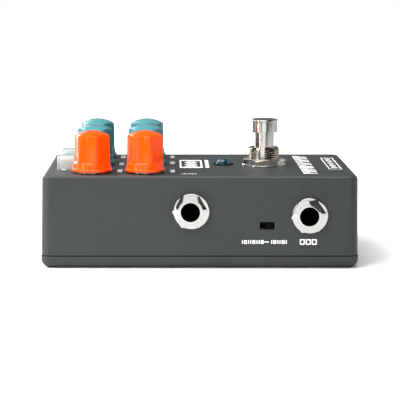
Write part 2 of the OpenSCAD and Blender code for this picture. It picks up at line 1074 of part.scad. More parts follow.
module slide_switch_actuator() {
    tab_y = -(half_w(slide_z) - slide_recess);
    carrier_y = slide_front() + slide_skin + loose;
    centre_x = slide_x + slide_travel / 2;
    color("#17181a") {
        translate([centre_x - slide_tab[0] / 2, tab_y, slide_z - slide_tab[1] / 2])
            cube([slide_tab[0], carrier_y + slide_carrier[1] - tab_y, slide_tab[1]]);
        translate([centre_x - slide_carrier[0] / 2, carrier_y, slide_z - slide_carrier[2] / 2])
            cube(slide_carrier);
    }
}

module slide_switch_terminals() {
    color("#d9d9d6")
        for (dx = slide_pins)
            translate([slide_x + dx, slide_pin_y(), 0])
                post(pin_w, main_z0 - pin_out, slide_body_z);
}

// ---- Sockets: each is drawn with its mouth up, and at_socket or at_input lays it down

module jack_bushing() {
    edge = jack_thread_edge;
    color("#d2d4d6")
        difference() {
            union() {
                translate([0, 0, jack_bushing_end])
                    cylinder(r = jack_thread_r, h = jack_face - edge - jack_bushing_end);
                translate([0, 0, jack_face - edge])
                    cylinder(r1 = jack_thread_r, r2 = jack_thread_r - edge, h = edge);
            }
            translate([0, 0, jack_bushing_end - cut])
                cylinder(r = plug_hole_r, h = jack_face - jack_bushing_end + 2 * cut);
        }
}

// side is 1 where the drawn +Y points up once laid down, and -1 where it points down
module jack_housing(z, side) {
    rear = jack_front - jack_size[1];
    foot_h = z - jack_size[2] / 2 - main_top;
    slot_top = blade_h / 2 + blade_gap;
    slot_h = jack_size[2] / 2 + slot_top + cut;
    color("#1b1c1e")
        difference() {
            union() {
                box_on([jack_size[0], jack_size[2], jack_size[1]], rear);
                box_on([jack_tunnel_w, jack_tunnel_w, rear - jack_tunnel_end + thin], jack_tunnel_end);
                for (foot_z = [rear, jack_front - jack_foot])
                    translate([0, -side * (jack_size[2] + foot_h - thin) / 2, 0])
                        box_on([jack_size[0], foot_h + thin, jack_foot], foot_z);
            }
            translate([0, 0, jack_bushing_end])
                cylinder(r = jack_thread_r + slip, h = jack_size[1]);
            translate([0, 0, jack_tunnel_end + jack_tunnel_wall])
                cylinder(r = jack_rear_r, h = jack_front);
            for (dx = [-1, 1])
                translate([dx * (blade_x + blade_t / 2), side * (slot_top - slot_h / 2), 0])
                    box_on(
                        [blade_t + 2 * blade_gap, slot_h, blade_l + 2 * blade_gap],
                        blade_start - blade_l - blade_gap
                    );
        }
}

module jack_blades(z, side) {
    leg_l = z + blade_h / 2 - (main_z0 - pin_out);
    for (dx = [-1, 1])
        translate([dx * (blade_x + blade_t / 2), 0, 0]) {
            box_on([blade_t, blade_h, blade_l], blade_start - blade_l);
            translate([0, side * (blade_h - leg_l) / 2, 0])
                box_on([blade_t, leg_l, blade_leg], blade_start - blade_leg);
        }
}

module jack_washer() {
    translate([jack_washer_shift, 0, jack_washer_y])
        tube(jack_washer_r, jack_washer_hole_r, jack_washer_t);
}

module jack_nut(i) {
    dome_z = jack_nut_t - sqrt(jack_nut_dome_r * jack_nut_dome_r - jack_thread_r * jack_thread_r);
    translate([0, 0, jack_washer_y + jack_washer_t])
        rotate([0, 0, jack_nut_turns[i]])
            intersection() {
                hex_nut(socket_nut_af, jack_thread_r + slip, jack_nut_t);
                translate([0, 0, dome_z])
                    sphere(r = jack_nut_dome_r, $fn = jack_nut_dome_fn);
            }
}

module output_jack_housing() {
    at_socket(output_x, output_z)
        jack_housing(output_z, 1);
}

module control_jack_housing() {
    at_socket(control_x, control_z)
        jack_housing(control_z, 1);
}

module input_jack_housing() {
    at_input()
        jack_housing(output_z, -1);
}

module output_jack_bushing() {
    at_socket(output_x, output_z)
        jack_bushing();
}

module control_jack_bushing() {
    at_socket(control_x, control_z)
        jack_bushing();
}

module input_jack_bushing() {
    at_input()
        jack_bushing();
}

module jack_washers() {
    color("#d2d4d6") {
        at_socket(output_x, output_z)
            jack_washer();
        at_socket(control_x, control_z)
            jack_washer();
        at_input()
            jack_washer();
    }
}

module jack_nuts() {
    color("#d2d4d6") {
        at_socket(output_x, output_z)
            jack_nut(0);
        at_socket(control_x, control_z)
            jack_nut(1);
        at_input()
            jack_nut(2);
    }
}

module jack_contacts() {
    color("#cfc08a") {
        at_socket(output_x, output_z)
            jack_blades(output_z, 1);
        at_socket(control_x, control_z)
            jack_blades(control_z, 1);
        at_input()
            jack_blades(output_z, -1);
    }
}

// ---- Power socket

function power_leg_y(leg) = jack_front - power_size[1] + leg[1];

module power_socket_housing() {
    low = power_z - power_size[2] / 2;
    color("#18191b")
        difference() {
            union() {
                translate([power_x - power_size[0] / 2, jack_front - power_size[1], low])
                    cube(power_size);
                translate([power_x, jack_front, power_z])
                    rotate([-90, 0, 0])
                        cylinder(r = power_collar_r, h = power_collar_l);
            }
            translate([power_x, jack_front + power_collar_l - power_hole_l, power_z])
                rotate([-90, 0, 0])
                    cylinder(r = power_hole_r, h = power_hole_l + cut);
            translate([power_x, jack_front - power_size[1] - cut, power_z])
                rotate([-90, 0, 0])
                    cylinder(r = power_pin_r + slip, h = power_size[1]);
        }
}

module power_socket_contacts() {
    color("#d9d9d6") {
        translate([power_x, jack_front - power_size[1], power_z])
            rotate([-90, 0, 0])
                cylinder(r = power_pin_r, h = power_size[1] + power_collar_l - power_pin_back);
        for (leg = power_legs)
            translate([power_x + leg[0], power_leg_y(leg), 0])
                post(power_leg_w, main_z0 - pin_out, power_z - power_size[2] / 2);
    }
}

// ---- Parts on the main board

module chips() {
    color("#232427")
        for (chip = chip_places)
            translate([chip[0], chip[1], 0])
                box_on([chip[2], chip[3], chip[4]], main_top);
}

module capacitors() {
    color("#8f9296")
        for (place = can_places)
            translate([place[0], place[1], main_top]) {
                box_on([2 * can_r, 2 * can_r, can_base], 0);
                cylinder(r = can_r, h = can_h);
            }
}

enclosure();
base_plate();
base_screws();
orange_knob(0);  // knob_front_left
orange_knob(1);  // knob_front_right
teal_knob(2);  // knob_middle_left
teal_knob(3);  // knob_middle_right
teal_knob(4);  // knob_rear_left
teal_knob(5);  // knob_rear_right
pot_shaft(0);  // pot_shaft_front_left
pot_shaft(1);  // pot_shaft_front_right
pot_shaft(2);  // pot_shaft_middle_left
pot_shaft(3);  // pot_shaft_middle_right
pot_shaft(4);  // pot_shaft_rear_left
pot_shaft(5);  // pot_shaft_rear_right
pot_housings();
pot_bushings();
pot_wafers();
pot_terminals();
pot_washers();
pot_nuts();
control_board();
main_board();
board_standoffs();
board_screws();
header_socket();
pin_header();
lamp();
lamp_bezel();
lamp_leads();
footswitch_housing();
footswitch_bushing();
footswitch_washer();
footswitch_nut();
footswitch_plunger();
footswitch_spring();
footswitch_contact();
footswitch_terminals();
button_cap(-button_y);  // button_cap_front
button_cap(button_y);  // button_cap_rear
tact_plunger(-button_y);  // tact_plunger_front
tact_plunger(button_y);  // tact_plunger_rear
tact_switches();
slide_switch_housing();
slide_switch_actuator();
slide_switch_terminals();
output_jack_housing();
control_jack_housing();
input_jack_housing();
output_jack_bushing();
control_jack_bushing();
input_jack_bushing();
jack_washers();
jack_nuts();
jack_contacts();
power_socket_housing();
power_socket_contacts();
chips();
capacitors();
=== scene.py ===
import json
from math import asin, cos, pi, radians, sin, sqrt, tau

import bmesh
import bpy
from mathutils import Matrix, Vector


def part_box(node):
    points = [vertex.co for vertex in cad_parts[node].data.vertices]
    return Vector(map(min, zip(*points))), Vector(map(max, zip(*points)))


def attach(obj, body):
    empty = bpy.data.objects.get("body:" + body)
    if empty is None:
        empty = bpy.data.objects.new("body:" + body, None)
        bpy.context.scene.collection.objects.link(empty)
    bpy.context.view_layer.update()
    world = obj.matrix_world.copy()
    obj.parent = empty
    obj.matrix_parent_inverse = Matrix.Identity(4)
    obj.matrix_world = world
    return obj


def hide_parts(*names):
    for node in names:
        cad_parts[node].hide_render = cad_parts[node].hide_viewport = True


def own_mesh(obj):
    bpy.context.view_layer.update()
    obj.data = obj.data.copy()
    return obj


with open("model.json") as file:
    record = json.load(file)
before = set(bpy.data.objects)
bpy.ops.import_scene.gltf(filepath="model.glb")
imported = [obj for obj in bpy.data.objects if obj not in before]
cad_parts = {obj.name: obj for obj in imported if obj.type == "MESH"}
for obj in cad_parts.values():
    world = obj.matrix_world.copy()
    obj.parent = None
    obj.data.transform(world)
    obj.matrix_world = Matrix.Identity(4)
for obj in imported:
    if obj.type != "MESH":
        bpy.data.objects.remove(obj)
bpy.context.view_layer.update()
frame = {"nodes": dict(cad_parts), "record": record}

MM = 0.001
DRAFT = 0.018          # inward slope of the box's side walls
PRINT_DEPTH = 0.03     # height of the printed marks above the paint


# ---- Places read from the frame, in millimetres

def span(node):
    """Lowest and highest corner of a CAD node."""
    low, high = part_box(node)
    return low / MM, high / MM


def centre(node):
    low, high = span(node)
    return (low + high) / 2


def upright(node, z=0.0):
    """Where a piece that stands on the axis of a CAD node is drawn, with its own zero at height z."""
    middle = centre(node)
    return Matrix.Translation((middle.x, middle.y, z))


def facing(node, side):
    """Where a piece is drawn that points along Y, out of the near wall (side -1) or the far one (side 1)."""
    middle = centre(node)
    return Matrix.Translation((middle.x, 0, middle.z)) @ Matrix.Rotation(-side * pi / 2, 4, "X")


BOX_LOW, BOX_HIGH = span("enclosure")
TOP = BOX_HIGH.z
SEAM = BOX_LOW.z
SEAM_GAP = 0.3         # open between the box and its base plate, below SEAM


def wall_y(z):
    """Half the width of the box at height z."""
    return BOX_HIGH.y - DRAFT * (z - SEAM)


# ---- Mesh building: a form is a list of points in millimetres and a list of faces

def moved(form, matrix):
    points, faces = form
    return [matrix @ Vector(point) for point in points], faces


def joined(forms):
    points, faces = [], []
    for form_points, form_faces in forms:
        first = len(points)
        points += form_points
        faces += [[first + i for i in face] for face in form_faces]
    return points, faces


def turned(outline_at, steps=96):
    """A turned form. outline_at gives the closed (radius, height) outline at an angle, so it may change."""
    columns = [outline_at(tau * i / steps) for i in range(steps)]
    rows = len(columns[0])
    points = []
    for i, column in enumerate(columns):
        angle = tau * i / steps
        points += [(r * cos(angle), r * sin(angle), z) for r, z in column]
    faces = []
    for i in range(steps):
        here, there = i * rows, (i + 1) % steps * rows
        for j in range(rows):
            k = (j + 1) % rows
            faces.append([here + j, there + j, there + k, here + k])
    return points, faces


def lathed(corners, steps=96):
    outline = rounded(corners)
    return turned(lambda angle: outline, steps)


def rounded(corners, steps=4):
    """The outline through (x, y, reach) corners, each eased off over its reach along both of its sides."""
    points = []
    for i, (x, y, reach) in enumerate(corners):
        corner = Vector((x, y))
        if reach == 0:
            points.append(corner)
            continue
        before = Vector(corners[i - 1][:2]) - corner
        after = Vector(corners[(i + 1) % len(corners)][:2]) - corner
        start = corner + before.normalized() * reach
        end = corner + after.normalized() * reach
        for k in range(steps + 1):
            s = k / steps
            points.append((1 - s) ** 2 * start + 2 * s * (1 - s) * corner + s * s * end)
    return points


def prism(outline, low, high):
    """An upright form with a flat outline."""
    count = len(outline)
    points = [(x, y, low) for x, y in outline] + [(x, y, high) for x, y in outline]
    sides = [[i, (i + 1) % count, count + (i + 1) % count, count + i] for i in range(count)]
    return points, [list(range(count))[::-1], list(range(count, 2 * count)), *sides]


def stacked(outlines):
    """A closed form through level outlines, each a (height, points) pair with the same number of points."""
    count = len(outlines[0][1])
    points = [(x, y, z) for z, outline in outlines for x, y in outline]
    faces = [list(range(count))[::-1], list(range(len(points) - count, len(points)))]
    for level in range(len(outlines) - 1):
        low, high = level * count, (level + 1) * count
        faces += [[low + i, low + (i + 1) % count, high + (i + 1) % count, high + i] for i in range(count)]
    return points, faces


def rectangle(width, depth, reach, steps=4):
    """The outline of a rectangle with rounded corners, about its middle."""
    x, y = width / 2, depth / 2
    return rounded([(x, y, reach), (-x, y, reach), (-x, -y, reach), (x, -y, reach)], steps)


def flat_faces_stay_flat(shown):
    """Shading normals that follow the larger faces, with the marked edges kept sharp."""
    normals = shown.modifiers.new("normals", "WEIGHTED_NORMAL")
    normals.keep_sharp = True


def piece(name, form, body, finish, replaces=(), sharp=35):
    """A mesh piece that rides on a body. Edges sharper than the given angle stay crisp."""
    points, faces = form
    mesh = bpy.data.meshes.new(name)
    mesh.from_pydata([Vector(point) * MM for point in points], [], faces)
    build = bmesh.new()
    build.from_mesh(mesh)
    bmesh.ops.remove_doubles(build, verts=build.verts, dist=0.0005 * MM)
    bmesh.ops.recalc_face_normals(build, faces=build.faces)
    for face in build.faces:
        face.smooth = True
    for edge in build.edges:
        edge.smooth = edge.calc_face_angle(pi) < radians(sharp)
    build.to_mesh(mesh)
    build.free()
    mesh.materials.append(finish)
    made = bpy.data.objects.new(name, mesh)
    bpy.context.scene.collection.objects.link(made)
    flat_faces_stay_flat(made)
    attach(made, body)
    if replaces:
        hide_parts(*replaces)
    return made


# ---- Materials

def srgb(red, green, blue):
    """A linear colour from 8-bit display values."""
    def linear(value):
        value /= 255
        return value / 12.92 if value <= 0.04045 else ((value + 0.055) / 1.055) ** 2.4
    return linear(red), linear(green), linear(blue), 1.0


def scaled(colour, factor):
    return *(channel * factor for channel in colour[:3]), 1.0


def ramp(nodes, stops):
    made = nodes.new("ShaderNodeValToRGB")
    made.color_ramp.elements.remove(made.color_ramp.elements[1])
    made.color_ramp.elements[0].position, made.color_ramp.elements[0].color = stops[0]
    for position, colour in stops[1:]:
        made.color_ramp.elements.new(position).color = colour
    return made


def noise(nodes, links, size, detail=3.0, stretch=(1, 1, 1)):
    """Noise whose features are about size millimetres across, fixed to the piece."""
    place = nodes.new("ShaderNodeTexCoord")
    mapping = nodes.new("ShaderNodeMapping")
    mapping.inputs["Scale"].default_value = stretch
    made = nodes.new("ShaderNodeTexNoise")
    made.inputs["Scale"].default_value = 1 / (size * MM)
    made.inputs["Detail"].default_value = detail
    links.new(place.outputs["Object"], mapping.inputs["Vector"])
    links.new(mapping.outputs["Vector"], made.inputs["Vector"])
    return made.outputs[0]


def surface(name, colour, rough, grain, mottle=0.08, spread=0.06, relief=0.01, stretch=(1, 1, 1),
            **sockets):
    """A Principled material. Noise mottles its colour over about 8 grains, varies its roughness over
    about 3, and raises its grain.

    grain and relief are in millimetres; sockets are the shader's own constant values."""
    made = bpy.data.materials.new(name)
    made.use_nodes = True
    nodes, links = made.node_tree.nodes, made.node_tree.links
    shader = nodes["Principled BSDF"]
    for socket, value in sockets.items():
        shader.inputs[socket.replace("_", " ")].default_value = value
    broad = noise(nodes, links, 8 * grain, 4.0, stretch)
    tint = ramp(nodes, [(0.3, scaled(colour, 1 - mottle)), (0.7, scaled(colour, 1 + mottle))])
    links.new(broad, tint.inputs["Fac"])
    links.new(tint.outputs["Color"], shader.inputs["Base Color"])
    gloss = nodes.new("ShaderNodeMapRange")
    gloss.inputs["From Min"].default_value = 0.3
    gloss.inputs["From Max"].default_value = 0.7
    gloss.inputs["To Min"].default_value = max(rough - spread, 0.02)
    gloss.inputs["To Max"].default_value = rough + spread
    links.new(noise(nodes, links, 3 * grain, 4.0, stretch), gloss.inputs["Value"])
    links.new(gloss.outputs["Result"], shader.inputs["Roughness"])
    bump = nodes.new("ShaderNodeBump")
    bump.inputs["Distance"].default_value = relief * MM
    links.new(noise(nodes, links, grain, 2.0, stretch), bump.inputs["Height"])
    links.new(bump.outputs["Normal"], shader.inputs["Normal"])
    return made


def metal(name, colour, rough, grain=0.6, **more):
    return surface(name, colour, rough, grain, Metallic=1.0, **more)


def circuit_board(name):
    """Green solder mask over copper tracks, which show as slightly raised and lighter lines."""
    made = surface(name, srgb(24, 84, 52), 0.3, 0.8, relief=0.004)
    nodes, links = made.node_tree.nodes, made.node_tree.links
    shader = nodes["Principled BSDF"]
    place = nodes.new("ShaderNodeTexCoord")
    tracks = nodes.new("ShaderNodeTexBrick")
    tracks.inputs["Scale"].default_value = 1 / (6 * MM)
    tracks.inputs["Mortar Size"].default_value = 0.05
    tracks.inputs["Color1"].default_value = srgb(20, 78, 46)
    tracks.inputs["Color2"].default_value = srgb(28, 92, 56)
    tracks.inputs["Mortar"].default_value = srgb(64, 138, 84)
    links.new(place.outputs["Object"], tracks.inputs["Vector"])
    links.new(tracks.outputs["Color"], shader.inputs["Base Color"])
    return made


def box_coat(name):
    """Grey-green powder coat: a fine orange peel under even finer grain. Inside the seam its colour is
    painted near-black, a painted shadow for the gap.
    """
    made = surface(name, srgb(45, 49, 48), 0.42, 0.35, mottle=0.05, spread=0.05, relief=0.012,
                   Specular_IOR_Level=0.4)
    nodes, links = made.node_tree.nodes, made.node_tree.links
    shader = nodes["Principled BSDF"]
    peel = nodes.new("ShaderNodeBump")
    peel.inputs["Distance"].default_value = 0.03 * MM
    links.new(noise(nodes, links, 1.6, 1.0), peel.inputs["Height"])
    fine = shader.inputs["Normal"].links[0].from_node
    links.new(peel.outputs["Normal"], fine.inputs["Normal"])
    place = nodes.new("ShaderNodeTexCoord")
    split = nodes.new("ShaderNodeSeparateXYZ")
    level = nodes.new("ShaderNodeMapRange")
    level.inputs["From Min"].default_value = (SEAM - 2 * SEAM_GAP) * MM
    level.inputs["From Max"].default_value = (SEAM + 2 * SEAM_GAP) * MM
    # On this scale the gap runs from 0.25 to 0.5
    # Painted shade: the coat's colour is ramped to near-black inside the seam gap, standing in for the gap's
    # shadow
    seam_shade = ramp(nodes, [(0, (1, 1, 1, 1)), (0.24, (0.02, 0.02, 0.02, 1)), (0.51, (1, 1, 1, 1))])
    seam_shade.color_ramp.interpolation = "CONSTANT"
    seam_shaded_tint = nodes.new("ShaderNodeVectorMath")
    seam_shaded_tint.operation = "MULTIPLY"
    tint = shader.inputs["Base Color"].links[0].from_socket
    links.new(place.outputs["Object"], split.inputs["Vector"])
    links.new(split.outputs["Z"], level.inputs["Value"])
    links.new(level.outputs["Result"], seam_shade.inputs["Fac"])
    links.new(tint, seam_shaded_tint.inputs[0])
    links.new(seam_shade.outputs["Color"], seam_shaded_tint.inputs[1])
    links.new(seam_shaded_tint.outputs["Vector"], shader.inputs["Base Color"])
    return made


def root_shaded_metal(name, node, floor_r, crest_r):
    """Nickel around the upright axis of a CAD node, with painted shade in the roots of its thread, so it is
    darker there than on its crests.

    The floor of its keyway, at floor_r, is bright too."""
    made = metal(name, srgb(222, 220, 212), 0.12, relief=0.001)
    nodes, links = made.node_tree.nodes, made.node_tree.links
    shader = nodes["Principled BSDF"]
    middle = centre(node) * MM
    place = nodes.new("ShaderNodeTexCoord")
    level = nodes.new("ShaderNodeVectorMath")
    level.operation = "MULTIPLY"
    level.inputs[1].default_value = (1, 1, 0)
    away = nodes.new("ShaderNodeVectorMath")
    away.operation = "DISTANCE"
    away.inputs[1].default_value = (middle.x, middle.y, 0)
    depth = nodes.new("ShaderNodeMapRange")
    depth.inputs["From Min"].default_value = floor_r * MM
    depth.inputs["From Max"].default_value = crest_r * MM
    # Painted shade: the thread's roots are darkened where its flanks would shade each other; crests and the
    # keyway floor stay bright
    tint = ramp(nodes, [(0.17, srgb(214, 210, 202)), (0.3, srgb(96, 88, 76)), (0.5, srgb(96, 88, 76)),
                        (0.75, srgb(226, 222, 210))])
    links.new(place.outputs["Object"], level.inputs[0])
    links.new(level.outputs["Vector"], away.inputs[0])
    links.new(away.outputs["Value"], depth.inputs["Value"])
    links.new(depth.outputs["Result"], tint.inputs["Fac"])
    links.new(tint.outputs["Color"], shader.inputs["Base Color"])
    return made


ORANGE = surface("glossy orange plastic", srgb(255, 73, 0), 0.1, 0.5, mottle=0.05, spread=0.04,
                 relief=0.002, Specular_IOR_Level=0.25, Coat_Weight=0.3, Coat_Roughness=0.03)
TEAL = surface("glossy teal plastic", srgb(67, 122, 127), 0.14, 0.5, mottle=0.05, spread=0.04,
               relief=0.002, Specular_IOR_Level=0.35, Coat_Weight=0.3, Coat_Roughness=0.06)
NICKEL = metal("nickel plate", srgb(206, 207, 203), 0.08, relief=0.001, spread=0.04, mottle=0.03)
SATIN = metal("satin nickel plate", srgb(214, 212, 206), 0.16, 0.4, relief=0.001, spread=0.03, mottle=0.06,
              stretch=(6, 6, 0.2))
CLEAR = surface("frosted clear plastic", srgb(226, 236, 232), 0.22, 0.9, mottle=0.02, relief=0.03,
                Transmission_Weight=0.75, IOR=1.49)
CORE = surface("pale diffusing plastic", srgb(202, 208, 204), 0.5, 0.7, mottle=0.08, relief=0.01)
LENS = surface("tinted lens plastic", srgb(0, 50, 66), 0.07, 0.8, mottle=0.15, spread=0.02,
               relief=0.001, Transmission_Weight=0.2, IOR=1.5, Coat_Weight=0.5)
BLACK = surface("black moulded plastic", srgb(9, 9, 10), 0.5, 0.5, mottle=0.15, relief=0.006,
                Specular_IOR_Level=0.06)
PRINT = surface("white screen print", srgb(236, 238, 236), 0.5, 0.4, mottle=0.05, relief=0.004)
WORN_NICKEL = metal("worn nickel plate", srgb(222, 217, 206), 0.28, 0.8, relief=0.004, mottle=0.12)
SWITCH_THREAD = root_shaded_metal("nickel with painted thread shade", "footswitch_bushing", floor_r=4.75, crest_r=5.7)

FINISHES = {
    "box_paint": box_coat("grey powder coat"),
    "orange_plastic": ORANGE,
    "teal_plastic": TEAL,
    "nickel": NICKEL,
    "black_steel": metal("blackened steel", srgb(70, 71, 74), 0.32, relief=0.005, mottle=0.2),
    "pot_green": surface("green moulded housing", srgb(60, 104, 70), 0.45, 0.6, relief=0.008),
    "phenolic": surface("brown laminate", srgb(122, 78, 44), 0.55, 0.5, mottle=0.18, relief=0.01,
                        stretch=(1, 6, 1)),
    "tin": metal("tinned brass", srgb(206, 206, 200), 0.28, mottle=0.1, relief=0.004),
    "board_green": circuit_board("green solder mask"),
    "brass": metal("brass", srgb(206, 176, 104), 0.25, mottle=0.1, relief=0.003),
    "zinc": metal("zinc plate", srgb(176, 180, 186), 0.34, mottle=0.12, relief=0.004),
    "black_nylon": surface("black nylon", srgb(28, 28, 30), 0.5, 0.6, mottle=0.15, relief=0.01),
    "black_plastic": BLACK,
    "lamp_teal": LENS,
    "blue_plastic": surface("blue switch housing", srgb(30, 66, 132), 0.4, 0.6, relief=0.008),
    "clear_plastic": CLEAR,
    "chip_black": surface("epoxy moulding", srgb(34, 35, 38), 0.62, 0.25, mottle=0.2, relief=0.012),
    "can_aluminium": metal("drawn aluminium", srgb(196, 198, 202), 0.3, mottle=0.06, relief=0.003,
                           stretch=(4, 4, 0.5)),
}


# ---- CAD nodes that stay: eased edges, smooth shading and the finish of their slot

def ease_node(node, ease):
    """Rounds a CAD node's edges by about ease millimetres, with modifiers only."""
    shown = frame["nodes"][node]
    mesh = shown.data
    if "custom_normal" in mesh.attributes:
        mesh.attributes.remove(mesh.attributes["custom_normal"])
    mesh.polygons.foreach_set("use_smooth", [True] * len(mesh.polygons))
    weld = shown.modifiers.new("weld", "WELD")
    weld.merge_threshold = 0.002 * MM
    bevel = shown.modifiers.new("ease", "BEVEL")
    bevel.limit_method = "ANGLE"
    bevel.angle_limit = radians(38)
    bevel.width = ease * MM
    bevel.segments = 2
    bevel.harden_normals = True
    flat_faces_stay_flat(shown)


def dress_nodes():
    """Every CAD node gets its slot's finish and eased edges. The pieces below replace some of them."""
    eases = {"enclosure": 0.07, "base_plate": 0.07, "base_screws": 0.08, "footswitch_housing": 0.3}
    for part in frame["record"]["subparts"]:
        node = part["node"]
        shown = frame["nodes"][node]
        shown.data.materials.clear()
        shown.data.materials.append(FINISHES[part["material_slot"]])
        ease_node(node, eases.get(node, 0.06))


# ---- Knobs

KNOB_UNDER = 0.67          # all heights are above the top plate
KNOB_TOP = 15.0
DOME_R = 12.0
SKIRT_R = 7.2
SKIRT_TOP = 1.47
FLARE_TOP = 3.47
GRIP_R = 6.6
TIP_R = 6.3
RECESS_R = 5.95
RECESS_TOP = 2.65
BORE_R = 3.05
BORE_FLAT = 2.05
BORE_TOP = 12.0
SCALLOP_R = 15.2
SCALLOP_REACH = 5.6        # from the knob's axis to the deepest line of a scallop
SCALLOP_FOOT = (3.3, 4.2)  # heights between which a scallop runs out
RIDGE_EASE = 0.34          # how broadly the ridges between scallops are rounded
TURNS = {"front_left": 18, "front_right": 20, "middle_left": 28, "middle_right": 26,
         "rear_left": 20, "rear_right": 44}


def smooth_min(a, b, width):
    overlap = max(width - abs(a - b), 0) / width
    return min(a, b) - overlap * overlap * width / 4


def smooth_step(low, high, value):
    share = min(max((value - low) / (high - low), 0), 1)
    return share * share * (3 - 2 * share)


def grip_radius(angle, z):
    """The knob's grip: a tapered barrel with six scallops, whose ridges are rounded."""
    barrel = GRIP_R + (TIP_R - GRIP_R) * (z - KNOB_UNDER) / (KNOB_TOP - KNOB_UNDER)
    off = (angle + pi / 6) % (pi / 3) - pi / 6
    far = SCALLOP_REACH + SCALLOP_R
    scallop = far * cos(off) - sqrt(SCALLOP_R ** 2 - (far * sin(off)) ** 2)
    depth = smooth_step(*SCALLOP_FOOT, z)
    return barrel + (smooth_min(barrel, scallop, RIDGE_EASE) - barrel) * depth


def dome(radius):
    return KNOB_TOP - DOME_R + sqrt(DOME_R ** 2 - radius ** 2)


def d_bore(angle):
    """The radius of the D-shaped bore, whose flat faces angle 0."""
    return min(BORE_R, BORE_FLAT / max(cos(angle), 0.01))


def knob_outline(angle):
    bore = d_bore(angle)
    edge_z = KNOB_TOP
    for _ in range(4):
        edge_z = dome(grip_radius(angle, edge_z))
    edge_r = grip_radius(angle, edge_z)
    reach = 0.22
    inside = [(0, BORE_TOP), (bore, BORE_TOP), (bore, RECESS_TOP), (RECESS_R, RECESS_TOP)]
    foot = rounded([(RECESS_R, RECESS_TOP, 0), (RECESS_R, KNOB_UNDER, 0.12),
                    (SKIRT_R, KNOB_UNDER, 0.2), (SKIRT_R, SKIRT_TOP, 0)])[1:]
    flare = []
    flare_r, flare_h = SKIRT_R - GRIP_R, FLARE_TOP - SKIRT_TOP
    for k in range(1, 8):
        a = pi / 2 * k / 8
        flare.append((SKIRT_R - flare_r * sin(a), SKIRT_TOP + flare_h * (1 - cos(a))))
    grip = []
    for k in range(22):
        z = FLARE_TOP + (edge_z - reach - FLARE_TOP) * (k / 21) ** 1.5
        grip.append((grip_radius(angle, z), z))
    lip_r = edge_r - reach
    lip = rounded([(grip[-1][0], grip[-1][1], 0), (edge_r, edge_z, reach), (lip_r, dome(lip_r), 0)])[1:-1]
    top = [(lip_r * (1 - k / 8), dome(lip_r * (1 - k / 8))) for k in range(1, 9)]
    return inside + foot + flare + grip + lip + top


def pointer_form():
    """A slim bar printed on the far part of a knob's dome, from near the middle to its edge."""
    width, start, end, steps = 0.7, 2.4, 5.0, 6
    points, faces = [], []
    for k in range(steps + 1):
        y = start + (end - start) * k / steps
        for x in (-width / 2, width / 2):
            for lift in (-0.02, PRINT_DEPTH):
                points.append((x, y, dome(sqrt(x * x + y * y)) + lift))
    for k in range(steps):
        a, b = 4 * k, 4 * k + 4
        faces += [[a, b, b + 1, a + 1], [a + 2, a + 3, b + 3, b + 2], [a, a + 2, b + 2, b],
                  [a + 1, b + 1, b + 3, a + 3]]
    last = 4 * steps
    faces += [[0, 1, 3, 2], [last, last + 2, last + 3, last + 1]]
    return points, faces


def make_knobs():
    """Each knob turns with its own shaft. The front pair is orange, the others teal."""
    for place, turn in TURNS.items():
        node, body = f"knob_{place}", f"{place}_control"
        finish, slot = (ORANGE, "orange_plastic") if "front" in place else (TEAL, "teal_plastic")
        where = upright(f"pot_shaft_{place}", TOP)
        turned_there = where @ Matrix.Rotation(radians(turn), 4, "Z")
        piece(f"{node}_moulding", moved(turned(knob_outline, 180), turned_there), body, finish,
              [node], sharp=30)
        piece(f"{node}_pointer", moved(pointer_form(), where), body, PRINT)


# ---- Nuts, washers and threads

def hex_radius(flats, angle, turn):
    """The distance from the axis to the side of a hexagon with a corner at the angle turn."""
    off = (angle - turn) % (pi / 3) - pi / 6
    return flats / 2 / cos(off)


def nut_form(flats, bore, height, turn, crown):
    """A hex nut. crown(radius) is how far its top lies below the full height there."""
    def outline(angle):
        side = hex_radius(flats, angle, turn)
        shelf = [bore + 0.02 + (side - bore - 0.04) * k / 6 for k in range(7)]
        top = [(r, height - crown(r)) for r in reversed(shelf)]
        return [(bore, 0.2), (bore + 0.2, 0), (side - 0.12, 0), (side, 0.12),
                (side, height - crown(side)), *top, (bore, height - 0.02)]
    return turned(outline, 180)


def washer_form(outer, bore, thick):
    return lathed([(bore, 0, 0.08), (outer, 0, 0.12), (outer, thick, 0.2), (bore, thick, 0.1)], 120)


def thread(radius, depth, pitch, angle, z):
    """The radius of a thread's rounded vee at an angle and a height."""
    turn = (z / pitch - angle / tau) % 1
    return radius - depth * smooth_step(0, 1, abs(2 * turn - 1))


# ---- Footswitch

THREAD_R = 5.7
THREAD_PITCH = 0.74
KEYWAY_W = 1.9
KEYWAY_FLOOR = 4.8
KEYWAY_TURN = radians(-10)
STEM_R = 3.6
CAP_R = 4.95
CAP_SIDE_R = 4.82
COLLAR_R = 5.3
COLLAR_T = 1.3
TIP_L = 4.6
TIP_BAR_R = 2.6
SWITCH_FLANGE_T = 0.93
SWITCH_WASHER_R = 8.3
SWITCH_NUT_AF = 14
SWITCH_NUT_TURN = radians(7)
SWITCH_NUT_FLAT_R = SWITCH_NUT_AF / 2 - 0.45   # the nut's top is flat to here
SWITCH_NUT_SLOPE = 0.6                         # and falls away beyond it


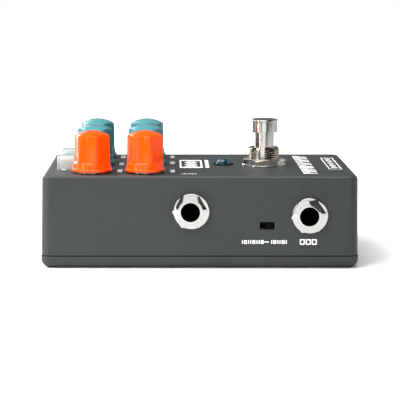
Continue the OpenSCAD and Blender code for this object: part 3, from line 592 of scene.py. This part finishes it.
def bushing_outline(low, flange_top, high):
    """The threaded bushing's outline between three heights, with a keyway down its near side."""
    flange_r, bore, keyway_low = 5.9, STEM_R + 0.05, TOP - 2
    thread_top = high - 0.4
    rows = round((thread_top - flange_top) / THREAD_PITCH * 6)

    def outline(angle):
        off = (angle - KEYWAY_TURN + pi / 2 + pi) % tau - pi
        in_keyway = abs(off) < asin(KEYWAY_W / 2 / THREAD_R)
        side = []
        for k in range(rows + 1):
            z = flange_top + (thread_top - flange_top) * k / rows
            r = thread(THREAD_R, 0.5, THREAD_PITCH, angle, z)
            side.append((min(r, KEYWAY_FLOOR / cos(off)) if in_keyway and z > keyway_low else r, z))
        crest = side[-1][0] - 0.35
        crest = min(crest, KEYWAY_FLOOR - 0.1) if in_keyway else THREAD_R - 0.5
        return [(bore, low), (flange_r, low), (flange_r, flange_top), *side, (crest, high),
                (bore + 0.3, high), (bore, high - 0.3)]
    return outline


def plunger_form(low, high):
    """The pressed part: a tip and collar inside, a stem, and a straight cap with a thin lip at its top."""
    collar_low = low + TIP_L
    collar_high = collar_low + COLLAR_T
    cap_low = high - 4.7
    return lathed([
        (0, low, 0), (TIP_BAR_R, low, 0.3), (TIP_BAR_R, collar_low, 0), (COLLAR_R, collar_low, 0.15),
        (COLLAR_R, collar_high, 0.15), (STEM_R, collar_high, 0.1), (STEM_R, cap_low, 0.12),
        (CAP_SIDE_R, cap_low, 0.18), (CAP_SIDE_R, high - 0.85, 0.1), (CAP_R, high - 0.7, 0.06),
        (CAP_R, high, 0.45), (0, high, 0),
    ], 128)


def spring_form(low, high):
    """A compression spring with six turns."""
    radius, wire, turns, steps, sides = 4.7, 0.38, 6, 40, 10
    points, faces = [], []
    count = turns * steps
    for i in range(count + 1):
        angle = tau * i / steps
        z = low + wire + (high - low - 2 * wire) * i / count
        for j in range(sides):
            side = tau * j / sides
            r = radius + wire * cos(side)
            points.append((r * cos(angle), r * sin(angle), z + wire * sin(side)))
    for i in range(count):
        for j in range(sides):
            a, k = i * sides, (j + 1) % sides
            faces.append([a + j, a + sides + j, a + sides + k, a + k])
    last = count * sides
    faces += [list(range(sides))[::-1], list(range(last, last + sides))]
    return points, faces


def make_footswitch():
    """The footswitch's fixed bushing, washer and nut, the button that is pressed, and its spring."""
    bushing_low, bushing_high = span("footswitch_bushing")
    washer_low, washer_high = span("footswitch_washer")
    nut_low, nut_high = span("footswitch_nut")
    plunger_low, plunger_high = span("footswitch_plunger")
    spring_low, spring_high = span("footswitch_spring")
    axis = upright("footswitch_plunger")
    bushing = turned(bushing_outline(bushing_low.z, bushing_low.z + SWITCH_FLANGE_T, bushing_high.z), 240)
    piece("footswitch_thread", moved(bushing, axis), "root", SWITCH_THREAD, ["footswitch_bushing"],
          sharp=50)
    washer = washer_form(SWITCH_WASHER_R, THREAD_R + 0.02, washer_high.z - washer_low.z)
    washer_place = upright("footswitch_washer", washer_low.z)
    piece("footswitch_ring", moved(washer, washer_place), "root", NICKEL, ["footswitch_washer"])
    nut = nut_form(SWITCH_NUT_AF, THREAD_R + 0.02, nut_high.z - nut_low.z, SWITCH_NUT_TURN,
                   lambda r: max(r - SWITCH_NUT_FLAT_R, 0) * SWITCH_NUT_SLOPE)
    nut_place = upright("footswitch_plunger", nut_low.z)
    piece("footswitch_hex", moved(nut, nut_place), "root", WORN_NICKEL, ["footswitch_nut"],
          sharp=20)
    piece("footswitch_button_cap", moved(plunger_form(plunger_low.z, plunger_high.z), axis),
          "footswitch_button", SATIN, ["footswitch_plunger"])
    spring = piece("footswitch_coil", moved(spring_form(spring_low.z, spring_high.z), axis), "root",
                   FINISHES["zinc"], ["footswitch_spring"])
    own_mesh(spring)


# ---- Sockets

SOCKET_HOLE_R = 3.25
SOCKET_THREAD_R = 4.4
SOCKET_NUT_AF = 11
SOCKET_NUT_T = 2.0
SOCKET_WASHER_R = 6.3
SOCKET_WASHER_BORE = 4.9
SOCKET_WASHER_T = 0.6
SOCKET_WASHER_SHIFT = 0.4
SOCKETS = {"output": (-1, 0), "control": (-1, 5), "input": (1, 12)}   # wall, and turn of the nut


def socket_bushing_form(low, high):
    """A socket's threaded bushing, with its hole and a chamfered mouth."""
    rows, pitch, thread_top = 48, 0.9, high - 0.5

    def outline(angle):
        side = []
        for k in range(rows + 1):
            z = low + (thread_top - low) * k / rows
            side.append((thread(SOCKET_THREAD_R, 0.3, pitch, angle, z), z))
        return [(SOCKET_HOLE_R, low), *side, (SOCKET_THREAD_R, high - 0.13), (SOCKET_THREAD_R - 0.7, high),
                (SOCKET_HOLE_R + 0.15, high), (SOCKET_HOLE_R, high - 0.2)]
    return turned(outline, 120)


def make_sockets():
    """Each socket's threaded bushing, and its washer and crowned nut outside the wall."""
    washers, nuts = [], []
    washer_y = span("jack_washers")[1].y - SOCKET_WASHER_T
    crown_r = 20
    full = sqrt(crown_r ** 2 - SOCKET_THREAD_R ** 2)
    for name, (side, turn) in SOCKETS.items():
        bushing = f"{name}_jack_bushing"
        low, high = span(bushing)
        inner, outer = sorted((abs(low.y), abs(high.y)))
        there = facing(bushing, side)
        piece(f"{name}_socket_thread", moved(socket_bushing_form(inner, outer), there), "root", NICKEL,
              [bushing], sharp=50)
        washer_place = there @ Matrix.Translation((SOCKET_WASHER_SHIFT, 0, washer_y))
        washer = washer_form(SOCKET_WASHER_R, SOCKET_WASHER_BORE, SOCKET_WASHER_T)
        washers.append(moved(washer, washer_place))
        nut = nut_form(SOCKET_NUT_AF, SOCKET_THREAD_R + 0.02, SOCKET_NUT_T, radians(turn),
                       lambda r: full - sqrt(crown_r ** 2 - r * r))
        nuts.append(moved(nut, there @ Matrix.Translation((0, 0, washer_y + SOCKET_WASHER_T))))
    piece("socket_washers", joined(washers), "root", NICKEL, ["jack_washers"])
    piece("socket_nuts", joined(nuts), "root", NICKEL, ["jack_nuts"], sharp=25)


# ---- Lamp, buttons and slide switch

LAMP_FLANGE_H = 1.0


def make_lamp():
    """The lamp's lens: a flange, a barrel and a dome."""
    low, high = span("lamp")
    lens_r, flange_r = 2.5, 2.9
    dome_low = high.z - lens_r
    flange_top = low.z + LAMP_FLANGE_H
    barrel = [(0, low.z), (flange_r, low.z), (flange_r, flange_top), (lens_r, flange_top)]
    cap = [(lens_r * cos(pi / 2 * k / 14), dome_low + lens_r * sin(pi / 2 * k / 14)) for k in range(15)]
    outline = barrel + cap
    piece("lamp_lens", moved(turned(lambda angle: outline), upright("lamp")), "root", LENS, ["lamp"])


def make_bezel():
    """The ring that holds the lamp, stepped inside for its flange."""
    low, high = span("lamp_bezel")
    bore, step_bore, barrel_r, rim_r = 2.52, 2.92, 3.2, 3.95
    step_z = span("lamp")[0].z + LAMP_FLANGE_H
    bezel = lathed([
        (step_bore, low.z, 0.1), (barrel_r, low.z, 0.1), (barrel_r, TOP, 0), (rim_r, TOP, 0.08),
        (rim_r - 0.15, high.z, 0.12), (bore, high.z, 0.1), (bore, step_z, 0), (step_bore, step_z, 0),
    ])
    piece("lamp_ring", moved(bezel, upright("lamp_bezel")), "root", BLACK, ["lamp_bezel"])


def make_buttons():
    """Each button is a clear cap over a pale core, on a flange and a stem."""
    for place in ("front", "rear"):
        node = f"button_cap_{place}"
        low, high = span(node)
        cap_w, flange_w, flange_t, stem_r, plunger_r = 7.0, 8.6, 1.4, 2.6, 1.77
        flange_top = TOP - 2.5
        edge = 0.6
        levels = [(flange_top, rectangle(cap_w, cap_w, 0.7))]
        for k in range(6):
            a = pi / 2 * k / 5
            width = cap_w - 2 * edge * (1 - cos(a))
            levels.append((high.z - edge + edge * sin(a), rectangle(width, width, 0.7)))
        for share in (0.8, 0.5, 0.2):
            dip = 0.12 * (1 - share ** 2)
            width = (cap_w - 2 * edge) * share
            levels.append((high.z - dip, rectangle(width, width, 0.7 * share)))
        flange_low = flange_top - flange_t
        flange = prism(rectangle(flange_w, flange_w, 0.4), flange_low, flange_top)
        hollow = 0.65
        stem = lathed([(0, low.z + hollow, 0), (plunger_r, low.z + hollow, 0), (plunger_r, low.z, 0),
                       (stem_r, low.z, 0.1), (stem_r, flange_low, 0), (0, flange_low, 0)], 48)
        where = upright(node)
        piece(f"{node}_shell", moved(joined([stacked(levels), flange, stem]), where), f"{place}_button",
              CLEAR, [node])
        core_side, core_top = rectangle(5.2, 5.2, 0.6), rectangle(4.4, 4.4, 0.6)
        core = stacked([(flange_top + 0.4, core_side), (high.z - 1.3, core_side), (high.z - 0.9, core_top)])
        piece(f"{node}_core", moved(core, where), f"{place}_button", CORE)


def make_slide_tab():
    """The slide switch's tab, ribbed on its face, on the carrier behind the wall."""
    low, high = span("slide_switch_actuator")
    tab_w, tab_h, carrier_d, ribs, groove = 2.9, 2.1, 1.8, 3, 0.25
    middle = centre("slide_switch_actuator")
    back = high.y - carrier_d
    face = []
    for k in range(ribs):
        x = -tab_w / 2 + tab_w * (k + 0.5) / ribs
        foot, crest = 0.45 * tab_w / ribs, 0.25 * tab_w / ribs
        face += [(x - foot, low.y + groove), (x - crest, low.y)]
        face += [(x + crest, low.y), (x + foot, low.y + groove)]
    face += [(tab_w / 2, back + 0.2), (-tab_w / 2, back + 0.2)]
    tab = prism(face, middle.z - tab_h / 2, middle.z + tab_h / 2)
    side = (high.x - low.x) / 2
    carrier = prism([(-side, back), (side, back), (side, high.y), (-side, high.y)], low.z, high.z)
    slider = moved(joined([tab, carrier]), Matrix.Translation((middle.x, 0, 0)))
    piece("slide_switch_tab", slider, "slide_tab", BLACK, ["slide_switch_actuator"],
          sharp=20)


# ---- Printed marks: plain bars and frames, without any lettering

def bars(strokes, corner=0.12):
    """Rounded bars from (x, y, width, height), lying in the plane z = 0."""
    forms = []
    for x, y, width, height in strokes:
        slab = prism(rectangle(width, height, min(corner, width / 3, height / 3), 2), -0.02, PRINT_DEPTH)
        forms.append(moved(slab, Matrix.Translation((x, y, 0))))
    return joined(forms)


def frame_strokes(left, low, right, high, line):
    """The four bars of an open rectangle."""
    x, y = (left + right) / 2, (low + high) / 2
    return [(left, y, line, high - low + line), (right, y, line, high - low + line),
            (x, low, right - left, line), (x, high, right - left, line)]


def word_strokes(x, y, length, height, thick=0.36):
    """Alternating upright bars and open boxes that read as a line of small print, about its middle."""
    strokes, edge, k = [], x - length / 2, 0
    while edge < x + length / 2 - thick:
        if k % 3 == 1:
            width = height * 0.62
            strokes += frame_strokes(edge + thick / 2, y - height / 2 + thick / 2, edge + width,
                                     y + height / 2 - thick / 2, thick)
            edge += width + thick * 1.6
        else:
            strokes.append((edge + thick / 2, y, thick, height))
            edge += thick * 2.1
        k += 1
    return strokes


def quarter_turned(strokes, x, y):
    """Strokes turned about (x, y), so that a line of print runs along Y."""
    return [(x - (own_y - y), y + (own_x - x), height, width) for own_x, own_y, width, height in strokes]


def badge_strokes():
    """A framed badge with striped ends and middle, and the bar beside it."""
    left, right, low, high = -6.6, 1.1, -9.0, 11.2
    middle = (left + right) / 2
    strokes = frame_strokes(left, low, right, high, 0.6)
    strokes += [(middle, low + 1.3, right - left - 0.6, 1.2), (middle, high - 1.3, right - left - 0.6, 1.2)]
    strokes += [(middle, -5 + 2.4 * k, 4.6 - 1.2 * (k % 2), 1.3) for k in range(6)]
    strokes += [(3.2, -8.2 + 2.1 * k, 1.4, 1.2) for k in range(10)]
    return strokes


def title_strokes(x, low, high, width):
    """A row of blocks along Y, alternately open boxes and pairs of bars."""
    strokes, y, k = [], low, 0
    while y < high - 3:
        if k % 2:
            strokes += frame_strokes(x - width / 2 + 0.5, y + 0.5, x + width / 2 - 0.5, y + 2.7, 1.0)
        else:
            strokes += [(x, y + 0.6, width, 1.1), (x - width / 4, y + 2.4, width / 2, 1.1)]
        y += 4.3
        k += 1
    return strokes


def top_strokes():
    """The marks on the top plate, in its own plane: badge, title, end panel and a label by each knob."""
    strokes = badge_strokes()
    strokes += word_strokes(-3.5, -24.3, 6, 1.2)
    strokes += title_strokes(39.35, -23.5, 26, 5.1)
    strokes += frame_strokes(47.3, -12.6, 51.6, 17.6, 0.35)
    strokes += [(49.45, -9 + 3 * k, 2.4 - 0.8 * (k % 2), 1.1) for k in range(9)]
    for x, ys in ((-28.5, (20.6, 1.1, -16.5)), (-9.6, (20.6, 3.8, -17))):
        for y in ys:
            strokes += quarter_turned(word_strokes(x, y, 6.2, 1.7, 0.38), x, y)
    strokes.append((-48.7, -14, 1.2, 1.2))
    return strokes


def print_on_wall(name, strokes, side):
    """Marks on a side wall, at (x, z), laid on its slope."""
    lean = Matrix.Rotation(side * -DRAFT, 4, "X")
    stand = Matrix.Rotation(pi / 2, 4, "X")
    if side > 0:
        stand = Matrix.Rotation(pi, 4, "Z") @ stand
    forms = []
    for x, z, width, height in strokes:
        place = Matrix.Translation((x, side * wall_y(z), z))
        forms.append(moved(bars([(0, 0, width, height)]), place @ lean @ stand))
    piece(name, joined(forms), "root", PRINT)


def make_prints():
    """Marks on the top plate, under the near sockets and switch, and under the far sockets."""
    piece("top_print", moved(bars(top_strokes()), Matrix.Translation((0, 0, TOP))), "root", PRINT)
    label_z = 9.65
    control_x = centre("control_jack_bushing").x
    front = word_strokes(18.4, label_z, 7.2, 1.35) + word_strokes(28.1, label_z, 6.0, 1.35)
    front.append((23.5, label_z, 1.7, 0.35))
    for dx in (-2.1, 0, 2.1):
        left = control_x + dx - 0.75
        front += frame_strokes(left, label_z - 0.8, left + 1.4, label_z + 0.8, 0.42)
    print_on_wall("front_print", front, -1)
    rear = word_strokes(centre("input_jack_bushing").x, label_z, 8.4, 1.9, 0.42)
    rear += word_strokes(centre("power_socket_housing").x, 8.4, 7.0, 1.35)
    print_on_wall("rear_print", rear, 1)


# ---- Studio

def stage_plane(name, width, height, place, finish):
    """A flat sheet of the studio, in metres."""
    mesh = bpy.data.meshes.new(name)
    x, y = width / 2, height / 2
    mesh.from_pydata([(-x, -y, 0), (x, -y, 0), (x, y, 0), (-x, y, 0)], [], [[0, 1, 2, 3]])
    mesh.materials.append(finish)
    made = bpy.data.objects.new(name, mesh)
    made.matrix_world = place
    bpy.context.scene.collection.objects.link(made)
    return made


def towards_object(azimuth, elevation, distance, aim=(0, 0, 0.02)):
    """A place that looks at the object. Azimuth 0 is the camera's side and grows to the right."""
    a, e = radians(azimuth), radians(elevation)
    away = Vector((sin(a) * cos(e), -cos(a) * cos(e), sin(e)))
    turn = away.to_track_quat("Z", "Y").to_matrix().to_4x4()
    return Matrix.Translation(Vector(aim) + away * distance) @ turn


def softbox(name, azimuth, elevation, distance, width, height, power):
    """A rectangular light that faces the object, in metres and watts. The camera doesn't see it."""
    light = bpy.data.lights.new(name, "AREA")
    light.shape = "RECTANGLE"
    light.size = width
    light.size_y = height
    light.energy = power
    made = bpy.data.objects.new(name, light)
    made.matrix_world = towards_object(azimuth, elevation, distance)
    made.visible_camera = False
    bpy.context.scene.collection.objects.link(made)
    return made


def only_reflected(card):
    """Studio cards shape the reflections, as photographers use them, and nothing else sees them."""
    card.visible_camera = False
    card.visible_diffuse = False
    card.visible_shadow = False
    card.visible_transmission = False


def glow(name, strength):
    """A white that shines by itself, for the studio's cards."""
    finish = bpy.data.materials.new(name)
    finish.use_nodes = True
    shader = finish.node_tree.nodes["Principled BSDF"]
    shader.inputs["Base Color"].default_value = (0, 0, 0, 1)
    shader.inputs["Emission Color"].default_value = (1, 1, 1, 1)
    shader.inputs["Emission Strength"].default_value = strength
    return finish


def lit_card(name, azimuths, distance, low, high, strength, top_azimuths=None):
    """A glowing card that stands around the object, between two azimuths and two heights in metres.

    Its upper edge may span other azimuths than its lower one."""
    corners = []
    for ends, z in ((azimuths, low), ((top_azimuths or azimuths)[::-1], high)):
        for end in ends:
            corners.append((distance * sin(radians(end)), -distance * cos(radians(end)), z))
    mesh = bpy.data.meshes.new(name)
    mesh.from_pydata(corners, [], [[0, 1, 2, 3]])
    mesh.materials.append(glow(name, strength))
    card = bpy.data.objects.new(name, mesh)
    bpy.context.scene.collection.objects.link(card)
    only_reflected(card)


def make_studio():
    """A white floor and sky, a high key light, softboxes, and cards for the glossy pieces to reflect."""
    paper = surface("white paper", (0.84, 0.84, 0.84, 1), 0.9, 20, mottle=0.01, relief=0.0,
                    Specular_IOR_Level=0.0)
    stage_plane("floor", 30, 30, Matrix(), paper).visible_glossy = False
    shaded = surface("shaded paper", (0.55, 0.55, 0.55, 1), 0.9, 20, mottle=0.01, relief=0.0,
                     Specular_IOR_Level=0.0)
    only_reflected(stage_plane("near floor", 0.7, 0.6, Matrix.Translation((0, 0.03, 0.0003)), shaded))
    world = bpy.data.worlds.new("white studio")
    world.use_nodes = True
    world.node_tree.nodes["Background"].inputs["Color"].default_value = (1, 1, 1, 1)
    world.node_tree.nodes["Background"].inputs["Strength"].default_value = 0.55
    bpy.context.scene.world = world
    world.cycles_visibility.glossy = False
    key = bpy.data.lights.new("key", "SUN")
    key.energy = 2.05
    key.angle = radians(50)
    key_object = bpy.data.objects.new("key", key)
    key_object.matrix_world = towards_object(-75, 80, 1)
    bpy.context.scene.collection.objects.link(key_object)
    softbox("left softbox", -80, 48, 0.5, 0.16, 0.5, 3.8).visible_glossy = False
    softbox("front fill", -38, 30, 0.5, 0.2, 0.3, 1.8).visible_glossy = False
    softbox("rim softbox", -140, 24, 0.6, 0.22, 0.4, 1.2)
    lit_card("front card", (-17.5, 17.5), 0.24, 0, 0.3, 1.2, (-5, 5))
    lit_card("left card", (-108, -80), 0.3, 0, 0.3, 1.6)
    lit_card("upper left card", (-105, -60), 0.4, 0.36, 0.62, 2.2)
    lit_card("rim card", (-165, -130), 0.4, 0, 0.3, 1.3)
    lit_card("rim strip", (-151, -144), 0.38, 0, 0.3, 9)
    lit_card("left strip", (-60, -54), 0.4, 0, 0.3, 9)
    lit_card("front strip", (-31, -28), 0.4, 0, 0.3, 3)
    lit_card("right card", (67, 150), 0.4, 0, 0.25, 0.55)
    lit_card("right strip", (91, 96), 0.35, 0, 0.3, 6)
    lit_card("low back card", (130, 230), 0.7, 0, 0.15, 0.14)
    lit_card("high back card", (130, 230), 0.7, 0.15, 0.55, 0.2)
    overhead = Matrix.Translation((0, -0.03, 0.6))
    only_reflected(stage_plane("overhead card", 0.4, 0.12, overhead, glow("overhead", 4)))
    for k in range(8):
        lit_card(f"surround {k}", (45 * k, 45 * k + 45), 1.2, 0, 1.2, 0.06)


def make_camera():
    """A long lens in front of the box's long side, looking slightly down at it."""
    data = bpy.data.cameras.new("camera")
    data.sensor_width = 36
    data.lens = 120.6
    data.shift_x = 0.076
    data.clip_start = 0.01
    data.clip_end = 100
    camera = bpy.data.objects.new("camera", data)
    camera.location = (-0.01065, -0.4927, 0.1022)
    camera.rotation_euler = (radians(80.48), 0, 0)
    bpy.context.scene.collection.objects.link(camera)
    bpy.context.scene.camera = camera


make_camera()
make_studio()
dress_nodes()
make_knobs()
make_footswitch()
make_sockets()
make_lamp()
make_bezel()
make_buttons()
make_slide_tab()
make_prints()
bpy.context.scene.view_settings.view_transform = "Standard"
bpy.context.scene.cycles.use_denoising = True
